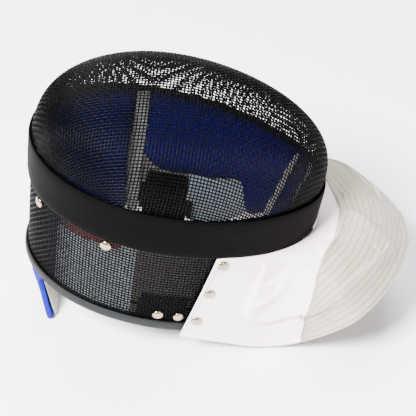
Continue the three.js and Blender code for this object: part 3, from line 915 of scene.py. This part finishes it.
# Name, angles, top and foot, distances of both faces from the wall, finish, slot, the CAD node, and the
# rest: puff is how far the face swells, grid its columns and rows, lip how far the foot bends in over the
# trim. The foot sets in to bend between lipFrom and lipTo below the rim plane.
strips = [
    ("padStripCrown", (103.7, 109.3), (-3, -140), (-2.9, -5.2), stripFinish, "strip", "crown_strip_{side}",
     {"lip": 11}),
    ("padStripChin", (14.1, 18.4), (-3, -50), (-2.9, -5.2), stripFinish, "strip", "chin_strip_{side}", {}),
    ("redStrip", (110, 139), (-43.2, redRear), (-2.4, -3.2), redFinish, "red_strip", "red_strip_{side}", {}),
    ("padSeam", (0, 1), (6, -94), (-16.6, -18.2), stripFinish, "strip", "chin_strip_{side}",
     {"bend": seamLine}),
    ("crownBackTop", (103.3, 141), (-4, -42.6), (-2.3, -2.9), padFinish, "pad", "crown_pad", {"puff": 0}),
    ("crownBackEnd", (141.1, 179.9), (-43.5, -128), (-2.3, -2.9), padFinish, "pad", "crown_pad",
     {"puff": 0}),
    ("strapPatch", (77.5, 103.2), (-111.4, -140), (-2.15, -2.6), elasticFinish, "elastic", "back_strap",
     {"puff": 0, "lip": 11}),
    # bibLining: white cloth with painted shade in its dark bluish grey
    ("bibLining", (43, 81.2), (liningTop, liningRear), (-5.7, -6.9), shadedFinish, "white_cloth",
     "bib_lining_{side}", {"puff": 0, "grid": (60, 12)}),
    # sideBack: its dark grey-brown is partly the cloth's grey and partly painted shade
    ("sideBack", (19.5, 103.2), (-43.2, sideBackRear), (-2.3, -2.7), shadedBackFinish, "pad", "side_pad_{side}",
     {"puff": 0, "grid": (120, 12)}),
    ("sideBackTop", (19.5, 103.2), (-4, -42.8), (-2.3, -2.7), padFinish, "pad", "side_pad_{side}",
     {"puff": 0, "grid": (60, 6)}),
    ("crownBack", (103.3, 141), (crownBackTop, -128.2), (-2.3, -2.9), paleBackFinish, "pad", "crown_pad",
     {"puff": 0, "grid": (30, 12)})]
lipFrom, lipTo = 114, 138


def wallStrip(name, angles, ends, faces, sign, puff=0.8, grid=(16, 24), bend=None, lip=0):
    (a0, a1), (inner, outer) = angles, faces

    def place(u, v):
        a = math.radians(a0) + math.radians(a1 - a0) * u
        top, low = (z(a) if callable(z) else z for z in ends)
        height = top + (low - top) * v
        over = lip * smoothStep(lipFrom, lipTo, -height)
        a = bend(u, height) if bend else a
        face = inner if puff else (inner + outer) / 2
        p = tilted(wallAt(a, height, face - puff * swell(u, 3) * swell(v, 8) - over))
        p[..., 1] *= sign
        return p
    piece = wrapGrid(name, *grid, place)
    turnOut(piece, (0, 0, 0.1))
    giveWall(piece, inner - outer, -1 if puff else 0)
    return piece


for side, sign in sides:
    for name, angles, ends, faces, finish, slotName, node, rest in strips:
        piece = wallStrip(name + side.capitalize(), angles, ends, faces, sign, **rest)
        give(piece, finish, slotName, node.format(side=side))

# Back strap across the head opening. Columns of its path: share from the middle to the wall, then distance
# from the wall, where it is minus a share of the half width, and height.
strap = {"x0": -12, "x1": 33, "thick": 1.7, "columns": 160, "rows": 14,
         "skin": 2.0, "clear": 0.05, "lift": 0.3,
         "path": [(0, -1, -133), (0.2, -0.76, -132.6), (0.4, -0.46, -131), (0.54, -0.2, -129),
                  (0.62, -0.09, -127.2), (0.68, 2.6, -125.6), (0.72, 1, -123), (0.76, 1, -119.5),
                  (1, 1, -98)]}


def backStrap():
    rows = np.array(strap["path"])

    def centre(m, x):
        # half width and height of the strap's inner face, m from the middle to the wall
        z = np.interp(m, rows[:, 0], rows[:, 2])
        t = -z / mask["depth"]
        cx = mask["rim"][3] + (mask["rear"][3] - mask["rim"][3]) * t
        r = (mask["rim"][0] + (mask["rear"][0] - mask["rim"][0]) * t) / 2
        half = np.abs(wallAt(np.arccos((x - cx) / r), z, -strap["skin"])[..., 1])
        shares = np.stack([np.where(row[1] < 0, -row[1] * half, row[1] + 0 * half) for row in rows])
        i = np.clip(np.searchsorted(rows[:, 0], m, side="right") - 1, 0, len(rows) - 2)
        f = (m - rows[i, 0]) / (rows[i + 1, 0] - rows[i, 0])
        k = np.arange(len(m))
        return half - shares[i, k] * (1 - f) - shares[i + 1, k] * f, z

    def place(u, v):
        x, w = strap["x0"] + (strap["x1"] - strap["x0"]) * v, 2 * u - 1
        y, z = centre(np.abs(w), x)
        return tilted(np.stack([x, np.sign(w) * (y - strap["clear"]), z + strap["lift"]], -1))
    piece = wrapGrid("backStrap", strap["columns"], strap["rows"], place)
    turnOut(piece, (0, 0, 0.5))
    piece.data.flip_normals()
    giveWall(piece, strap["thick"])
    give(piece, elasticFinish, "elastic", "back_strap")


backStrap()
print("strap and strips made")

# Rivets: one domed head, copied to each place. Rings of the head: rise, then how much smaller the next is.
# Places on the wall: angle and height. On the bib: u and v.
rivet = {"radius": 5.2, "seat": 0.3, "bibSeat": 0.25,
         "rings": ((0.32, 1.0), (0.42, 0.93), (0.34, 0.90), (0.36, 0.82), (0.44, 0.72), (0.26, 0.55),
                   (0.12, 0.4)),
         "wall": {"band": (116, -51.5), "crown": (155, -52.5), "strap_a": (92, -122.2),
                  "strap_b": (83.6, -122.2)},
         "bib": {"bib_a": (0.952, 0.08), "bib_b": (0.948, 0.43), "bib_c": (0.946, 0.78)}}


def rivetHead():
    bpy.ops.mesh.primitive_circle_add(vertices=28, radius=rivet["radius"] / 1000, fill_type="NGON")
    head = bpy.context.object
    bpy.ops.object.mode_set(mode="EDIT")
    bpy.ops.mesh.select_all(action="SELECT")
    for rise, shrink in rivet["rings"]:
        bpy.ops.mesh.extrude_region_move(TRANSFORM_OT_translate={"value": (0, 0, rise / 1000)})
        bpy.ops.transform.resize(value=(shrink, shrink, 1), center_override=(0, 0, 0))
    bpy.ops.object.mode_set(mode="OBJECT")
    edge = head.modifiers.new("edge", "BEVEL")
    edge.width, edge.segments, edge.limit_method, edge.angle_limit = 0.0002, 2, "ANGLE", math.radians(40)
    applyAll(head)
    bpy.ops.object.shade_smooth_by_angle(angle=math.radians(50))
    return head


def setRivets():
    head = rivetHead()
    for side, sign in sides:
        spots = []
        for key, (angle, z) in rivet["wall"].items():
            a = math.radians(angle)
            p = [tilted(wallAt(np.array([b]), np.array([c]), 0.0))[0] for b, c in
                 ((a, z), (a + 0.01, z), (a - 0.01, z), (a, z + 1), (a, z - 1))]
            n = np.cross(p[1] - p[2], p[3] - p[4])
            n /= np.linalg.norm(n)
            spots.append((key, p[0] + n * rivet["seat"], n))
        for key, (u, v) in rivet["bib"].items():
            uu, vv = np.array([u]), np.array([v])
            spots.append((key, bibFolded(uu, vv, np.array([rivet["bibSeat"]]))[0], bibNormal(uu, vv)[0]))
        for key, p, n in spots:
            p, n = p * np.array([1, sign, 1]), n * np.array([1, sign, 1])
            copy = bpy.data.objects.new("rivet_head_%s_%s" % (key, side), head.data.copy())
            bpy.context.collection.objects.link(copy)
            turn = Vector((0, 0, 1)).rotation_difference(Vector(n)).to_matrix().to_4x4()
            turn.translation = Vector(placed(p))
            copy.data.transform(turn)
            give(copy, nickelFinish, "nickel", "rivet_%s_%s" % (key, side))
    bpy.data.objects.remove(head, do_unlink=True)


setRivets()
print("rivets made")

# Floor, light and camera
view = {"elevation": math.radians(40.8), "distance": 1100.0, "lens": 99.5,
        "aim": (26.4 + mask["shiftX"], 0.0, 101.9)}
lamps = (("keyLight", 320, 0.7, (-0.95, -1.0, 1.7), (0, 0, 0.1)),
         ("frontLight", 20, 0.6, (0.9, -1.5, 0.9), (0, 0, 0.1)),
         ("topLight", 150, 1.6, (0.3, 1.6, 2.4), (0.1, 1.0, 0.0)))


def studio():
    bpy.ops.mesh.primitive_plane_add(size=8, location=(0, 0, -0.0004))
    floor = bpy.context.object
    floor.name = "studioFloor"
    m = Maker("paleFloor")
    m.finish((0.95, 0.95, 0.95), 0.9, Emission_Color=(1, 1, 1, 1), Emission_Strength=0.02)
    floor.data.materials.append(m.material)
    world = bpy.data.worlds.new("softRoom")
    world.use_nodes = True
    sky = world.node_tree.nodes["Background"]
    sky.inputs[0].default_value, sky.inputs[1].default_value = (1, 1, 1, 1), 0.35
    bpy.context.scene.world = world
    for name, power, size, place, target in lamps:
        bpy.ops.object.light_add(type="AREA", location=place)
        lamp = bpy.context.object
        lamp.name = name
        lamp.data.energy, lamp.data.size = power, size
        lamp.rotation_euler = (Vector(target) - Vector(place)).to_track_quat("-Z", "Y").to_euler()
    e, aim = view["elevation"], np.array(view["aim"])
    eye = aim - view["distance"] * np.array([0, math.cos(e), -math.sin(e)])
    bpy.ops.object.camera_add(location=tuple(eye / 1000))
    camera = bpy.context.object
    camera.rotation_euler = (Vector(aim - eye)).to_track_quat("-Z", "Y").to_euler()
    camera.data.lens, camera.data.sensor_width = view["lens"], 36
    camera.data.clip_start, camera.data.clip_end = 0.05, 50
    bpy.context.scene.camera = camera


studio()
